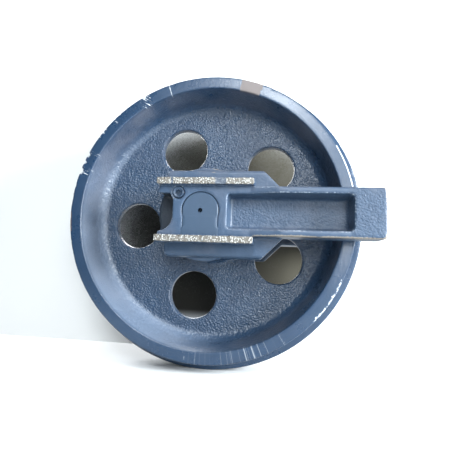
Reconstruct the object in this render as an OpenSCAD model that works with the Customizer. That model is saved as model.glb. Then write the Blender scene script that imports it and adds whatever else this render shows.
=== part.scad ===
// Front idler of a tracked excavator: a flanged wheel that turns on a fixed shaft, carried by two
// cast brackets that slide in the track frame. The wheel turns about the Y axis, the arms of the
// brackets point along X, and Z is up. The origin is the centre of the wheel.

/* [Wheel] */
// Diameter of the tread that the track links roll on
tread_d = 530; // [500:1:600]
// Width of the wheel across its two rim faces
rim_w = 144; // [136:1:170]
// Height of the middle guide flange above the tread
flange_h = 18; // [10:1:26]
// Width of the guide flange at its top
flange_w = 54; // [40:1:66]
// Slope of the flange's flanks, in degrees
flange_slope = 12; // [4:1:20]
// Fillet between the flange's flanks and the tread
flange_fillet = 4; // [2:0.5:6]
// Radial width of the flat rim face
rim_lip = 22; // [16:1:30]
// Chamfer on the outer edges of the rim and of the flange
rim_edge = 3; // [1:0.5:5]
// Chamfer on the inner edge of the rim face
lip_edge = 2; // [0.5:0.5:4]
// Draft of the wall between rim face and web, in degrees
wall_draft = 11; // [5:1:15]
// Thickness of the web
web_t = 18; // [14:1:26]
// Fillet between the web and the rim
rim_fillet = 22; // [10:1:26]
// Fillet between the web and the hub
hub_fillet = 12; // [6:1:16]
// Diameter of the hub at its ends
hub_d = 160; // [150:1:168]
// Draft of the hub's outside, in degrees
hub_draft = 2; // [0.5:0.5:4]
// Chamfer on the outer edges of the hub's ends
hub_edge = 2; // [1:0.5:4]
// Distance of the hub's ends inside the rim faces
hub_inset = 8; // [5:1:12]

/* [Web holes] */
// Number of round holes through the web
hole_count = 5; // [4:1:6]
// Diameter of each hole
hole_d = 91; // [70:1:94]
// Diameter of the circle that the holes lie on
hole_pcd = 304; // [300:1:312]
// Angle of the first hole above the arm, in degrees
hole_turn = -30; // [-90:1:90]
// Rounding of the holes' edges
hole_edge = 4; // [1:0.5:5]

/* [Shaft and bushes] */
// Diameter of the shaft
shaft_d = 62; // [56:1:64]
// Chamfer on the shaft's ends and on the mouths of the brackets' bores
shaft_edge = 1.5; // [0.5:0.5:2.5]
// Diameter of the centre drilling in the shaft's ends
centre_d = 8; // [5:0.5:12]
// Depth of the centre drilling
centre_l = 12; // [6:1:20]
// Wall of the bushes
bush_wall = 6; // [4:0.5:7]
// Length of each bush with its flange
bush_l = 42; // [34:1:46]
// Diameter of the bush flange, which takes the side load
bush_flange_d = 80; // [78:1:82]
// Thickness of the bush flange
bush_flange_t = 5; // [3:0.5:7]
// Radial depth of the oil space in the hub between the bushes
oil_depth = 5; // [2:0.5:8]
// Radial running clearance of the shaft in the bushes
run_clear = 0.05; // [0.02:0.01:0.09]
// Side float of the wheel between the brackets, at each end
end_float = 0.3; // [0.25:0.05:0.6]
// Clearance of the pieces that stand still in their seats
seat_clear = 0.05; // [0.02:0.01:0.1]

/* [Seals] */
// Gap between the hub's end and the bracket's collar
seal_gap = 2; // [1:0.5:3]
// Depth of each seal housing
seal_depth = 15; // [14:0.5:17]
// Radial room between the bush flange and the hard seal rings
ring_clear = 3; // [2:0.5:4]
// Radial wall of the seal rings inside their rubber rings
ring_wall = 2.8; // [2:0.1:4]
// Radial room between the seal rings' running flanges and the housings
ring_room = 2; // [1:0.5:3]
// Room between the seal rings' tails and the floors of the housings
ring_tail_gap = 1; // [0.5:0.25:2]
// Thickness of a seal ring's running flange
ring_face_t = 4.5; // [3:0.5:5]
// Gap between the running faces of a pair of seal rings
ring_gap = 0.3; // [0.2:0.05:0.5]
// Section diameter of the rubber toric rings
toric_d = 8; // [7:0.25:8.5]
// Section diameter of the shaft o-rings
oring_d = 4; // [3:0.25:5]
// Squeeze room left round the o-rings and toric rings
rubber_clear = 0.1; // [0.05:0.05:0.2]

/* [Bracket] */
// Clearance between the wheel's rim face and the back of the bracket
arm_clear = 10; // [6:1:16]
// Thickness of the base plate
plate_t = 19.5; // [16:0.5:24]
// Height of the base plate at its front
plate_w = 150; // [140:1:158]
// Distance from the shaft to the base plate's nose end
plate_nose = 68; // [64:1:74]
// Distance from the shaft to where the plate's corners are cut towards the arm
plate_tail = 104; // [96:1:120]
// Rounding of the plate's corners at the nose
plate_corner = 10; // [4:1:14]
// Draft of the plate's upper and lower edges, in degrees
plate_draft = 11; // [2:1:14]
// Chamfer along the plate's upper and lower front edges
plate_edge = 3; // [1:0.5:5]
// Diameter of the round collar behind the plate
collar_d = 168; // [164:1:176]
// Wall between the seal housing and the collar's front
collar_wall = 7; // [5:0.5:10]
// Chamfer on the collar's outer edge beside the wheel
collar_edge = 2; // [1:0.5:4]
// Distance from the shaft to the shaft boss's nose end
boss_nose = 73; // [70:1:75]
// Height of the shaft boss above the base plate
boss_h = 28.5; // [24:0.5:34]
// Width of the shaft boss between the two guides
boss_w = 85; // [82:1:92]
// Distance from the shaft to the bottom of the hollow at the nose
nose_hollow = 48; // [46:1:52]
// Upper side of the hollow at the nose, above the shaft
hollow_top = 29; // [24:1:31]
// Lower side of the hollow's straight stretch, below the shaft
hollow_low = 11; // [6:1:14]
// Radius of the hollow's lower corner
hollow_r = 25; // [18:1:27]

/* [Arm] */
// Distance from the shaft to the arm's end
arm_l = 297; // [280:1:340]
// Height of the arm
arm_w = 82; // [78:1:84]
// Height of the arm's walls above the base plate
arm_h = 37; // [32:0.5:40]
// Distance from the shaft to where the arm's raised walls begin
arm_start = 90; // [84:1:96]
// Rounding of the arm's long edges
arm_edge = 4; // [2:0.5:6]
// Length of the solid block at the arm's end
block_l = 49; // [44:1:70]
// Distance from the shaft to the pocket's inner end
pocket_start = 44; // [42:1:52]
// Height of the pocket at its mouth
pocket_w = 60; // [50:1:64]
// Depth of the pocket below the arm's front
pocket_h = 38.5; // [30:0.5:42]
// Draft of the pocket's walls, in degrees
pocket_draft = 6; // [2:1:8]
// Rounding of the pocket's corners
pocket_corner = 9; // [4:1:12]
// Fillet round the pocket's floor
pocket_fillet = 6; // [3:1:8]

/* [Guides] */
// Length of the guide strips
guide_l = 165; // [150:1:180]
// Distance from the shaft to the guides' nose end
guide_nose = 75; // [72:1:82]
// Thickness of the guide strips
guide_t = 11.5; // [8:0.5:14]
// Height of the guide strips above the base plate
guide_h = 40; // [36:0.5:46]
// Chamfer on the guides' ends
guide_edge = 1.5; // [0.5:0.5:3]
// Chamfer along the guides' long front edges
guide_wear = 1; // [0.5:0.5:2]

/* [Lock bar] */
// Distance from the shaft's axis to its flat
flat_h = 12.5; // [10:0.5:20]
// Width of the lock bar
bar_w = 58; // [54:1:60]
// Length of the lock bar and the shaft's flat along the shaft
bar_l = 18; // [12:1:22]

/* [Oil plug] */
// Distance of the oil plug from the shaft's axis towards the nose
plug_x = 38.5; // [37:0.5:40]
// Distance of the oil plug below the boss's upper side
plug_side = 12.7; // [12:0.1:15]
// Diameter of the plug's head
plug_head_d = 19; // [17:0.5:20]
// Height of the plug's head
plug_head_h = 6; // [4:0.5:8]
// Diameter of the plug's threaded shank
plug_d = 13; // [10:0.5:14]
// Length of the plug's shank below its washer
plug_l = 14; // [10:1:18]
// Width across the flats of the plug's socket
plug_key = 8; // [6:0.5:9]
// Thickness of the sealing washer
washer_t = 1.5; // [1:0.25:2.5]
// Depth of the spot face that the washer lies in
spot_h = 4; // [2:0.5:5]
// Clearance round the plug's head in the spot face
spot_clear = 1; // [0.5:0.25:1.5]
// Wall of the boss round the plug
plug_wall = 3.5; // [2:0.5:5]
// Diameter of the drilling from the plug to the oil space
oil_hole_d = 6; // [4:0.5:8]

/* [Yoke holes] */
// Tapping diameter of the bolt holes in the arm's end
yoke_hole_d = 17.5; // [14:0.5:20]
// Distance between the two bolt holes
yoke_pitch = 44; // [38:1:50]
// Depth of the bolt holes
yoke_depth = 36; // [25:1:40]

/* [Hidden] */
$fn = 96;
paint = "slategray";
bare_steel = "silver";

// Radii of the wheel
tread_r = tread_d / 2;
flange_r = tread_r + flange_h;
lip_r = tread_r - rim_lip;
hub_r = hub_d / 2;
shaft_r = shaft_d / 2;
bush_r = shaft_r + bush_wall;

// Distances outwards from the wheel's middle plane
web_face = web_t / 2;
rim_face = rim_w / 2;
hub_end = rim_face - hub_inset;
housing_in = hub_end - seal_depth;
seal_plane = hub_end + seal_gap / 2;
collar_end = hub_end + seal_gap;
housing_out = collar_end + seal_depth;
collar_front = housing_out + collar_wall;
thrust_face = housing_in + bush_flange_t + end_float;
bush_in = housing_in + bush_flange_t - bush_l;
plate_back = rim_face + arm_clear;
plate_front = plate_back + plate_t;
boss_face = plate_front + boss_h;
arm_front = plate_front + arm_h;
guide_front = plate_front + guide_h;
pocket_floor = arm_front - pocket_h;
bar_in = boss_face - bar_l;
spot_floor = boss_face - spot_h;

// Places across the bracket
boss_half = boss_w / 2;
plate_half = plate_w / 2;
arm_half = arm_w / 2;
pocket_half = pocket_w / 2;
pocket_end = arm_l - block_l;
plug_y = boss_half - plug_side;
plug_boss_r = plug_head_d / 2 + spot_clear + plug_wall;
oring_plane = (housing_out + bar_in) / 2;

// Seal rings, the rubber rings that carry them and the housings round them
ring_bore_r = bush_flange_d / 2 + ring_clear;
tail_r = ring_bore_r + ring_wall;
seal_r = tail_r + toric_d + 2 * rubber_clear;
ring_face_r = seal_r - ring_room;
ring_half = seal_plane - ring_gap / 2 - housing_in;
toric_r = (tail_r + seal_r) / 2;
toric_at = housing_in + ring_tail_gap + toric_d / 2;
oring_groove_r = shaft_r + seat_clear - oring_d;

// Reach of cutting tools past the surface that they cut
past = 1;

// Stands a piece that was drawn with the shaft along its own Z on the front or the rear side
module on_side(side) {
  rotate([side == "front" ? 90 : -90, 0, 0]) children();
}

// Extrudes a profile drawn across the arm from one distance along the arm to another
module along_arm(from, to) {
  translate([from, 0, 0]) rotate([90, 0, 90]) linear_extrude(to - from) children();
}

// Extrudes a plan drawn beside the shaft from one height outwards to another
module outwards(from, to) {
  translate([0, 0, from]) linear_extrude(to - from) children();
}

module rounded_rectangle(low, high, r) {
  translate([low[0] + r, low[1]]) square([high[0] - low[0] - 2 * r, high[1] - low[1]]);
  translate([low[0], low[1] + r]) square([high[0] - low[0], high[1] - low[1] - 2 * r]);
  for (x = [low[0] + r, high[0] - r], y = [low[1] + r, high[1] - r])
    translate([x, y]) circle(r);
}

// Centre of a fillet of radius r in the corner between the web's face and a wall that meets it at
// radius w. The wall leans away from the corner by lean degrees, outwards where side is 1.
function fillet_centre(w, r, lean, side) = [w - side * r * (1 / cos(lean) - tan(lean)), web_face + r];

// Point where such a fillet runs into the wall
function fillet_touch(centre, r, lean, side) = centre + r * [side * cos(lean), -sin(lean)];

// Half of the wheel's section: radius across, distance from the middle plane upwards
module half_wheel_section() {
  wall_foot = lip_r - (rim_face - web_face) * tan(wall_draft);
  hub_foot = hub_r + (hub_end - web_face) * tan(hub_draft);
  flange_foot = flange_w / 2 + flange_h * tan(flange_slope);
  flange_centre = [tread_r + flange_fillet,
    flange_foot + flange_fillet * (1 / cos(flange_slope) - tan(flange_slope))];
  flank_touch = flange_centre - flange_fillet * [sin(flange_slope), cos(flange_slope)];
  rim_centre = fillet_centre(wall_foot, rim_fillet, wall_draft, 1);
  hub_centre = fillet_centre(hub_foot, hub_fillet, hub_draft, -1);
  difference() {
    polygon([
      [bush_r, 0], [flange_r, 0], [flange_r, flange_w / 2 - rim_edge],
      [flange_r - rim_edge, flange_w / 2 + rim_edge * tan(flange_slope)],
      flank_touch, flange_centre, [tread_r, flange_centre[1]], [tread_r, rim_face - rim_edge],
      [tread_r - rim_edge, rim_face], [lip_r + lip_edge, rim_face],
      [lip_r - lip_edge * tan(wall_draft), rim_face - lip_edge],
      fillet_touch(rim_centre, rim_fillet, wall_draft, 1), rim_centre, [rim_centre[0], web_face],
      [hub_centre[0], web_face], hub_centre, fillet_touch(hub_centre, hub_fillet, hub_draft, -1),
      [hub_r + hub_edge * tan(hub_draft), hub_end - hub_edge], [hub_r - hub_edge, hub_end],
      [bush_r, hub_end]
    ]);
    translate(flange_centre) circle(flange_fillet);
    translate(rim_centre) circle(rim_fillet);
    translate(hub_centre) circle(hub_fillet);
  }
}

// Bores of the hub: bush seat, oil space between the bushes and seal housing
module half_hub_bores() {
  translate([0, -past]) square([bush_r + seat_clear, hub_end + 2 * past]);
  translate([0, -past]) square([bush_r + oil_depth, bush_in + past]);
  translate([0, housing_in]) square([seal_r, seal_depth + past]);
}

// Cutter for one web hole with both of its edges rounded
module web_hole() {
  mouth = hole_d / 2 + hole_edge;
  rotate_extrude() {
    translate([0, -web_face - past]) square([hole_d / 2, web_t + 2 * past]);
    for (side = [0, 1]) mirror([0, side]) {
      difference() {
        translate([0, web_face - hole_edge]) square([mouth, hole_edge + past]);
        translate([mouth, web_face - hole_edge]) circle(hole_edge);
      }
    }
  }
}

module idler_wheel() {
  color(paint) on_side("front") difference() {
    rotate_extrude() difference() {
      for (side = [0, 1]) mirror([0, side]) half_wheel_section();
      for (side = [0, 1]) mirror([0, side]) half_hub_bores();
    }
    for (i = [0 : hole_count - 1])
      rotate([0, 0, hole_turn + i * 360 / hole_count]) translate([hole_pcd / 2, 0, 0]) web_hole();
  }
}

// One half of the shaft's outline: radius across, distance from the middle plane upwards
module half_shaft_section() {
  difference() {
    polygon([[0, 0], [shaft_r, 0], [shaft_r, boss_face - shaft_edge],
      [shaft_r - shaft_edge, boss_face], [0, boss_face]]);
    translate([oring_groove_r - rubber_clear, oring_plane - oring_d / 2 - rubber_clear])
      square([oring_d + past, oring_d + 2 * rubber_clear]);
    translate([0, boss_face - centre_l])
      polygon([[0, -centre_d / 4], [centre_d / 2, 0], [centre_d / 2, centre_l + past], [0, centre_l + past]]);
  }
}

module shaft() {
  color(bare_steel) difference() {
    on_side("front") rotate_extrude() for (side = [0, 1]) mirror([0, side]) half_shaft_section();
    for (side = ["front", "rear"]) on_side(side)
      translate([-shaft_d, -flat_h - shaft_d, bar_in]) cube([2 * shaft_d, shaft_d, bar_l + past]);
  }
}

module bush() {
  rotate_extrude() difference() {
    union() {
      translate([0, bush_in]) square([bush_r, bush_l]);
      translate([0, housing_in]) square([bush_flange_d / 2, bush_flange_t]);
    }
    translate([0, bush_in - past]) square([shaft_r + run_clear, bush_l + 2 * past]);
  }
}

// Hard ring of a floating seal, drawn on the wheel's side of the seal's running plane
module seal_ring() {
  tail = housing_in + ring_tail_gap;
  face = housing_in + ring_half;
  rotate_extrude() polygon([
    [ring_bore_r, tail], [tail_r, tail], [tail_r, face - 1.5 * ring_face_t],
    [ring_face_r, face - ring_face_t], [ring_face_r, face], [ring_bore_r, face]
  ]);
}

module toric_ring() {
  rotate_extrude() translate([toric_r, toric_at]) circle(toric_d / 2);
}

// Puts a piece of the wheel's half of a seal on the bracket's half
module across_seal() {
  mirror([0, 0, 1]) translate([0, 0, -2 * seal_plane]) children();
}

module shaft_oring() {
  rotate_extrude() translate([oring_groove_r + oring_d / 2, oring_plane]) circle(oring_d / 2 - rubber_clear);
}

// Hollow in the bracket's nose, as seen along the shaft
module nose_hollow_plan() {
  far = 2 * plate_nose;
  difference() {
    union() {
      translate([-far, -hollow_low]) square([far - nose_hollow, hollow_low + hollow_top]);
      translate([-nose_hollow - hollow_r, -hollow_low]) circle(hollow_r);
      translate([-far, -hollow_low - hollow_r])
        square([far - nose_hollow - hollow_r, hollow_low + hollow_r]);
    }
    translate([-plug_x, plug_y]) circle(plug_boss_r);
  }
}

module base_plate_plan() {
  cut = plate_half - arm_half;
  back_half = plate_half + plate_t * tan(plate_draft);
  difference() {
    union() {
      rounded_rectangle([-plate_nose, -back_half], [plate_tail - plate_corner, back_half], plate_corner);
      polygon([
        [0, back_half], [plate_tail - back_half + plate_half, back_half],
        [plate_tail + cut, arm_half], [plate_tail + cut, -arm_half],
        [plate_tail - back_half + plate_half, -back_half], [0, -back_half]
      ]);
    }
    nose_hollow_plan();
  }
}

// Section of the base plate across the arm, with drafted edges
module base_plate_section() {
  back_half = plate_half + plate_t * tan(plate_draft);
  edge_half = plate_half + plate_edge * tan(plate_draft);
  polygon([
    [-back_half, plate_back], [back_half, plate_back],
    [edge_half, plate_front - plate_edge], [plate_half - plate_edge, plate_front],
    [plate_edge - plate_half, plate_front], [-edge_half, plate_front - plate_edge]
  ]);
}

module base_plate() {
  intersection() {
    outwards(plate_back, plate_front) base_plate_plan();
    along_arm(-plate_nose - past, arm_l) base_plate_section();
  }
}

// Plan of the shaft boss, from its nose end to the arm
module boss_plan(nose) {
  difference() {
    translate([-nose, -boss_half]) square([nose + arm_start, boss_w]);
    nose_hollow_plan();
  }
}

// The shaft boss stands on the back of the base plate, and its nose overhangs the plate
module boss() {
  outwards(plate_back, boss_face) boss_plan(plate_nose);
  outwards(plate_front, boss_face) boss_plan(boss_nose);
}

// Round boss of the oil plug, cut off flush where the guide strip lies against it
module plug_boss() {
  outwards(plate_back, boss_face) intersection() {
    translate([-plug_x, plug_y]) circle(plug_boss_r);
    translate([-boss_nose, -boss_half]) square([boss_nose, boss_w]);
  }
}

// The arm: its side view and its section across, each with rounded corners, and the tongue that runs
// into the shaft boss between the guides
module arm_body() {
  ramp = boss_half - arm_half + arm_edge;
  tongue = min(arm_half, boss_half);
  intersection() {
    outwards(plate_back, arm_front) {
      rounded_rectangle([arm_start, -arm_half], [arm_l, arm_half], arm_edge);
      rounded_rectangle([arm_start - arm_edge, -tongue], [arm_start + 3 * arm_edge, tongue], arm_edge);
    }
    along_arm(0, arm_l + past)
      rounded_rectangle([-arm_half, plate_back], [arm_half, arm_front], arm_edge);
  }
  outwards(plate_back, boss_face) polygon([
    [arm_start, boss_half], [arm_start + ramp, boss_half - ramp],
    [arm_start + ramp, ramp - boss_half], [arm_start, -boss_half]
  ]);
}

// Long pocket in the arm's face: plan, section across and section along, all drafted
module pocket() {
  depth = pocket_h + past;
  lean = pocket_h * tan(pocket_draft);
  mouth_lean = past * tan(pocket_draft);
  module drafted(low, high) {
    difference() {
      polygon([[low + lean, pocket_floor], [high - lean, pocket_floor],
        [high + mouth_lean, pocket_floor + depth], [low - mouth_lean, pocket_floor + depth]]);
      translate([low + lean, pocket_floor]) floor_fillet(1);
      translate([high - lean, pocket_floor]) floor_fillet(-1);
    }
  }
  module floor_fillet(side) {
    reach = pocket_fillet * (1 / cos(pocket_draft) - tan(pocket_draft));
    touch = [reach - pocket_fillet * cos(pocket_draft), pocket_fillet - pocket_fillet * sin(pocket_draft)];
    mirror([side == 1 ? 0 : 1, 0]) difference() {
      polygon([[-past, -past], [reach, -past], [reach, 0], [reach, pocket_fillet], touch, [-past, touch[1]]]);
      translate([reach, pocket_fillet]) circle(pocket_fillet);
    }
  }
  intersection() {
    outwards(pocket_floor, arm_front + past)
      rounded_rectangle([pocket_start, -pocket_half], [pocket_end, pocket_half], pocket_corner);
    along_arm(0, arm_l) drafted(-pocket_half, pocket_half);
    translate([0, 2 * arm_half, 0]) rotate([90, 0, 0]) linear_extrude(4 * arm_half)
      drafted(pocket_start, pocket_end);
  }
}

// Round collar behind the plate with its seal housing and the inner boss that takes the side load
module collar() {
  rotate_extrude() difference() {
    union() {
      polygon([
        [0, collar_end], [collar_d / 2 - collar_edge, collar_end], [collar_d / 2, collar_end + collar_edge],
        [collar_d / 2, collar_front], [0, collar_front]
      ]);
      translate([0, thrust_face]) square([bush_flange_d / 2, collar_front - thrust_face]);
    }
    translate([bush_flange_d / 2, collar_end - past])
      square([seal_r - bush_flange_d / 2, seal_depth + past]);
  }
}

// Bore for the shaft, with a chamfered mouth
module shaft_bore() {
  bore_r = shaft_r + seat_clear;
  rotate_extrude() polygon([
    [0, 0], [bore_r, 0], [bore_r, boss_face - shaft_edge], [bore_r + shaft_edge, boss_face],
    [bore_r + shaft_edge, boss_face + past], [0, boss_face + past]
  ]);
}

module lock_slot() {
  half = bar_w / 2 + seat_clear;
  translate([-half, -boss_half - past, bar_in]) cube([2 * half, boss_half + past - flat_h, bar_l + past]);
}

// Spot face, threaded bore and oil drilling of the plug
module plug_bores() {
  translate([-plug_x, plug_y, 0]) {
    translate([0, 0, spot_floor]) cylinder(h = spot_h + past, r = plug_head_d / 2 + spot_clear);
    translate([0, 0, spot_floor - plug_l - past]) cylinder(h = plug_l + 2 * past, r = plug_d / 2 + seat_clear);
    translate([0, 0, housing_out - past]) cylinder(h = spot_floor - housing_out, d = oil_hole_d);
  }
}

module yoke_holes() {
  middle = (plate_back + arm_front) / 2;
  for (side = [-1, 1])
    translate([arm_l - yoke_depth, side * yoke_pitch / 2, middle]) rotate([0, 90, 0])
      cylinder(h = yoke_depth + past, d = yoke_hole_d);
}

module bracket() {
  difference() {
    union() {
      base_plate();
      boss();
      arm_body();
      plug_boss();
      collar();
    }
    shaft_bore();
    lock_slot();
    plug_bores();
    pocket();
    yoke_holes();
  }
}

// Guide strip that slides in the track frame, drawn above the shaft: its plan and its section across
module guide() {
  guide_end = guide_l - guide_nose;
  outer = boss_half + guide_t;
  intersection() {
    outwards(plate_front, guide_front) polygon([
      [-guide_nose, boss_half], [guide_end, boss_half], [guide_end, outer - guide_edge],
      [guide_end - guide_edge, outer], [guide_edge - guide_nose, outer], [-guide_nose, outer - guide_edge]
    ]);
    along_arm(-guide_nose - past, guide_end + past) polygon([
      [boss_half, plate_front], [outer, plate_front], [outer, guide_front - guide_wear],
      [outer - guide_wear, guide_front], [boss_half + guide_wear, guide_front],
      [boss_half, guide_front - guide_wear]
    ]);
  }
}

module lock_bar() {
  translate([-bar_w / 2, -boss_half, bar_in + seat_clear])
    cube([bar_w, boss_half - flat_h - seat_clear, bar_l - seat_clear]);
}

module oil_plug() {
  translate([-plug_x, plug_y, spot_floor]) difference() {
    union() {
      translate([0, 0, washer_t]) cylinder(h = plug_head_h, d = plug_head_d);
      translate([0, 0, -plug_l]) cylinder(h = plug_l + washer_t, d = plug_d);
    }
    translate([0, 0, washer_t + plug_head_h / 3])
      cylinder(h = plug_head_h, d = plug_key / cos(30), $fn = 6);
  }
}

module plug_washer() {
  translate([-plug_x, plug_y, spot_floor]) difference() {
    cylinder(h = washer_t, d = plug_head_d);
    translate([0, 0, -past]) cylinder(h = washer_t + 2 * past, r = plug_d / 2 + seat_clear);
  }
}

module side_bush(side) { color("goldenrod") on_side(side) bush(); }
module side_wheel_seal_ring(side) { color("dimgray") on_side(side) seal_ring(); }
module side_bracket_seal_ring(side) { color("gray") on_side(side) across_seal() seal_ring(); }
module side_wheel_toric_ring(side) { color("black") on_side(side) toric_ring(); }
module side_bracket_toric_ring(side) { color("black") on_side(side) across_seal() toric_ring(); }
module side_shaft_oring(side) { color("black") on_side(side) shaft_oring(); }
module side_bracket(side) { color(paint) on_side(side) bracket(); }
module side_upper_guide(side) { color("lightgray") on_side(side) guide(); }
module side_lower_guide(side) { color("lightgray") on_side(side) mirror([0, 1, 0]) guide(); }
module side_lock_bar(side) { color(paint) on_side(side) lock_bar(); }
module side_oil_plug(side) { color(paint) on_side(side) oil_plug(); }
module side_plug_washer(side) { color("peru") on_side(side) plug_washer(); }

idler_wheel();
shaft();
side_bush("front");  // front_bush
side_bush("rear");  // rear_bush
side_wheel_seal_ring("front");  // front_wheel_seal_ring
side_wheel_seal_ring("rear");  // rear_wheel_seal_ring
side_bracket_seal_ring("front");  // front_bracket_seal_ring
side_bracket_seal_ring("rear");  // rear_bracket_seal_ring
side_wheel_toric_ring("front");  // front_wheel_toric_ring
side_wheel_toric_ring("rear");  // rear_wheel_toric_ring
side_bracket_toric_ring("front");  // front_bracket_toric_ring
side_bracket_toric_ring("rear");  // rear_bracket_toric_ring
side_shaft_oring("front");  // front_shaft_oring
side_shaft_oring("rear");  // rear_shaft_oring
side_bracket("front");  // front_bracket
side_bracket("rear");  // rear_bracket
side_upper_guide("front");  // front_upper_guide
side_lower_guide("rear");  // rear_upper_guide
side_lower_guide("front");  // front_lower_guide
side_upper_guide("rear");  // rear_lower_guide
side_lock_bar("front");  // front_lock_bar
side_lock_bar("rear");  // rear_lock_bar
side_oil_plug("front");  // front_oil_plug
side_oil_plug("rear");  // rear_oil_plug
side_plug_washer("front");  // front_plug_washer
side_plug_washer("rear");  // rear_plug_washer
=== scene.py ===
# %% [markdown]
# # The front idler of a tracked excavator
# An idler is the plain wheel at the front end of an excavator's track. It turns freely on a fixed shaft,
# and two cast brackets hold the shaft and slide in the track frame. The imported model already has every
# piece at its real size, with the hard edges of a drawing. This lesson gives the castings the soft edges
# and the sand skin of real iron, paints them, and wears the paint off where steel and hands have rubbed it.

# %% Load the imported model
import math

import bmesh
import bpy
from mathutils import Matrix, Vector, noise


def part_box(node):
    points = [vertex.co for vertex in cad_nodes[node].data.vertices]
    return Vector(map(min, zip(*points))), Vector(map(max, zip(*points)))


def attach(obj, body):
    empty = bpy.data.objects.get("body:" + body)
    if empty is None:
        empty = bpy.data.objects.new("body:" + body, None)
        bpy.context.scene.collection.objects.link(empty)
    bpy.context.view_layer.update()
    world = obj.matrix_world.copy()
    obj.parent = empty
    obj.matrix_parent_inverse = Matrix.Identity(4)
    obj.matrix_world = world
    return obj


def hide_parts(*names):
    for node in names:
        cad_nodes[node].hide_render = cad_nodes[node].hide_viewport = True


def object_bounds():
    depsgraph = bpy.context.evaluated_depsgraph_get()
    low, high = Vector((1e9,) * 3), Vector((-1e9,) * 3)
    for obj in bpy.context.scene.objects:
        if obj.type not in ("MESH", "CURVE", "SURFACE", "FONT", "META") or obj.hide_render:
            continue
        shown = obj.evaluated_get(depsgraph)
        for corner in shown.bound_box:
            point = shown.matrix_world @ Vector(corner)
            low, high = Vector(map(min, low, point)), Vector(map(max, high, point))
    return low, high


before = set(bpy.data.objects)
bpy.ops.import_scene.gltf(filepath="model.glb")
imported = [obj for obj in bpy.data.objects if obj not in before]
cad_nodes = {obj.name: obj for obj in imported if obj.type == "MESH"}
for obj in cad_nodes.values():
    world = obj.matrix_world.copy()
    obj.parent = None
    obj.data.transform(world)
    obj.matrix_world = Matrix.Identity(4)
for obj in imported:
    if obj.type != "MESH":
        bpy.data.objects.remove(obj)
cad_box = [list(corner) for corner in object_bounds()]
mm = 0.001
print("CAD nodes:", len(cad_nodes))

# %% [markdown]
# The camera comes first, because it decides which side of the object needs the most care. It stands low and
# close to the wheel, a little to the right of the shaft, and is tipped by two degrees. Its place could be
# typed in as a rotation, but a point to look at and a roll are easier to read and to change.

# %% Camera
camera_place = Vector((129.6, -746.0, -93.0)) * mm
camera_target = Vector((24.9, 0.0, -9.3)) * mm
camera_roll = math.radians(2.3)
camera_data = bpy.data.cameras.new("low_front_camera")
camera_data.sensor_width = 36
camera_data.lens = 30.4
camera = bpy.data.objects.new("low_front_camera", camera_data)
look = (camera_target - camera_place).to_track_quat("-Z", "Y").to_matrix()
turn = look @ Matrix.Rotation(camera_roll, 3, "Z")
camera.matrix_world = Matrix.Translation(camera_place) @ turn.to_4x4()
bpy.context.scene.collection.objects.link(camera)
bpy.context.scene.camera = camera
print("camera distance:", round((camera_target - camera_place).length, 3), "m")

# %% [markdown]
# A shader is a tree of small nodes. Making each node takes several lines, so these helpers add a node, set
# its inputs or link them to other nodes, and hand back what the next node needs. A number goes straight
# into a socket, and an output of another node becomes a link.

# %% Helpers for shader nodes
def tree_of(*values):
    """The tree that is being worked on: the first value that is a socket belongs to it."""
    return next(value.id_data for value in values if isinstance(value, bpy.types.NodeSocket))


def connect(socket, value):
    if isinstance(value, bpy.types.NodeSocket):
        tree_of(socket).links.new(value, socket)
    else:
        socket.default_value = value


def add_node(tree, kind, values, **settings):
    made = tree.nodes.new("ShaderNode" + kind)
    for name, value in settings.items():
        setattr(made, name, value)
    for name, value in values.items():
        connect(made.inputs[name], value)
    return made


def maths(operation, *values):
    return add_node(tree_of(*values), "Math", dict(enumerate(values)), operation=operation).outputs[0]


def times_plus(value, share, base):
    return maths("MULTIPLY_ADD", value, share, base)


def vector_maths(operation, *values):
    made = add_node(tree_of(*values), "VectorMath", dict(enumerate(values)), operation=operation)
    return made.outputs["Value" if operation in ("LENGTH", "DISTANCE") else "Vector"]


def split(vector):
    return add_node(tree_of(vector), "SeparateXYZ", {"Vector": vector}).outputs


def join(**parts):
    return add_node(tree_of(*parts.values()), "CombineXYZ", parts).outputs[0]


def stretched(vector, **values):
    return add_node(tree_of(vector), "Mapping", {"Vector": vector, **values}).outputs[0]


print("node helpers ready")

# %% [markdown]
# Most of the wear is said with masks, which are 0 where nothing happens and 1 where it does. Masks are made
# by a soft step or from a cloud of noise, and laid over each other: a product keeps what all of them cover,
# and the largest keeps what any of them covers. A group is a small tree with a name, to be used again.

# %% Helpers for masks and groups
def fade(value, start, end):
    """0 below start and 1 above end, with a soft step between. It falls instead if start is the larger."""
    values = {"Value": value, "From Min": start, "From Max": end}
    return add_node(tree_of(value), "MapRange", values, interpolation_type="SMOOTHSTEP").outputs["Result"]


def product(first, *others):
    for other in others:
        first = maths("MULTIPLY", first, other)
    return first


def largest(first, *others):
    for other in others:
        first = maths("MAXIMUM", first, other)
    return first


def band(value, start, rise, fall, end):
    """1 between rise and fall, and 0 outside start and end."""
    return product(fade(value, start, rise), fade(value, end, fall))


def cloud(vector, scale, detail=3.0, roughness=0.55):
    values = {"Vector": vector, "Scale": scale, "Detail": detail, "Roughness": roughness}
    return add_node(tree_of(vector), "TexNoise", values).outputs["Fac"]


def mix_colours(share, first, second):
    return add_node(tree_of(share), "Mix", {0: share, 6: first, 7: second}, data_type="RGBA").outputs[2]


def new_group(name, inputs, outputs):
    tree = bpy.data.node_groups.new(name, "ShaderNodeTree")
    for direction, sockets in (("INPUT", inputs), ("OUTPUT", outputs)):
        for label, kind in sockets.items():
            tree.interface.new_socket(label, in_out=direction, socket_type="NodeSocket" + kind)
    return tree, tree.nodes.new("NodeGroupInput").outputs, tree.nodes.new("NodeGroupOutput").inputs


def use_group(group, **values):
    return add_node(tree_of(*values.values()), "Group", values, node_tree=group).outputs


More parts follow.
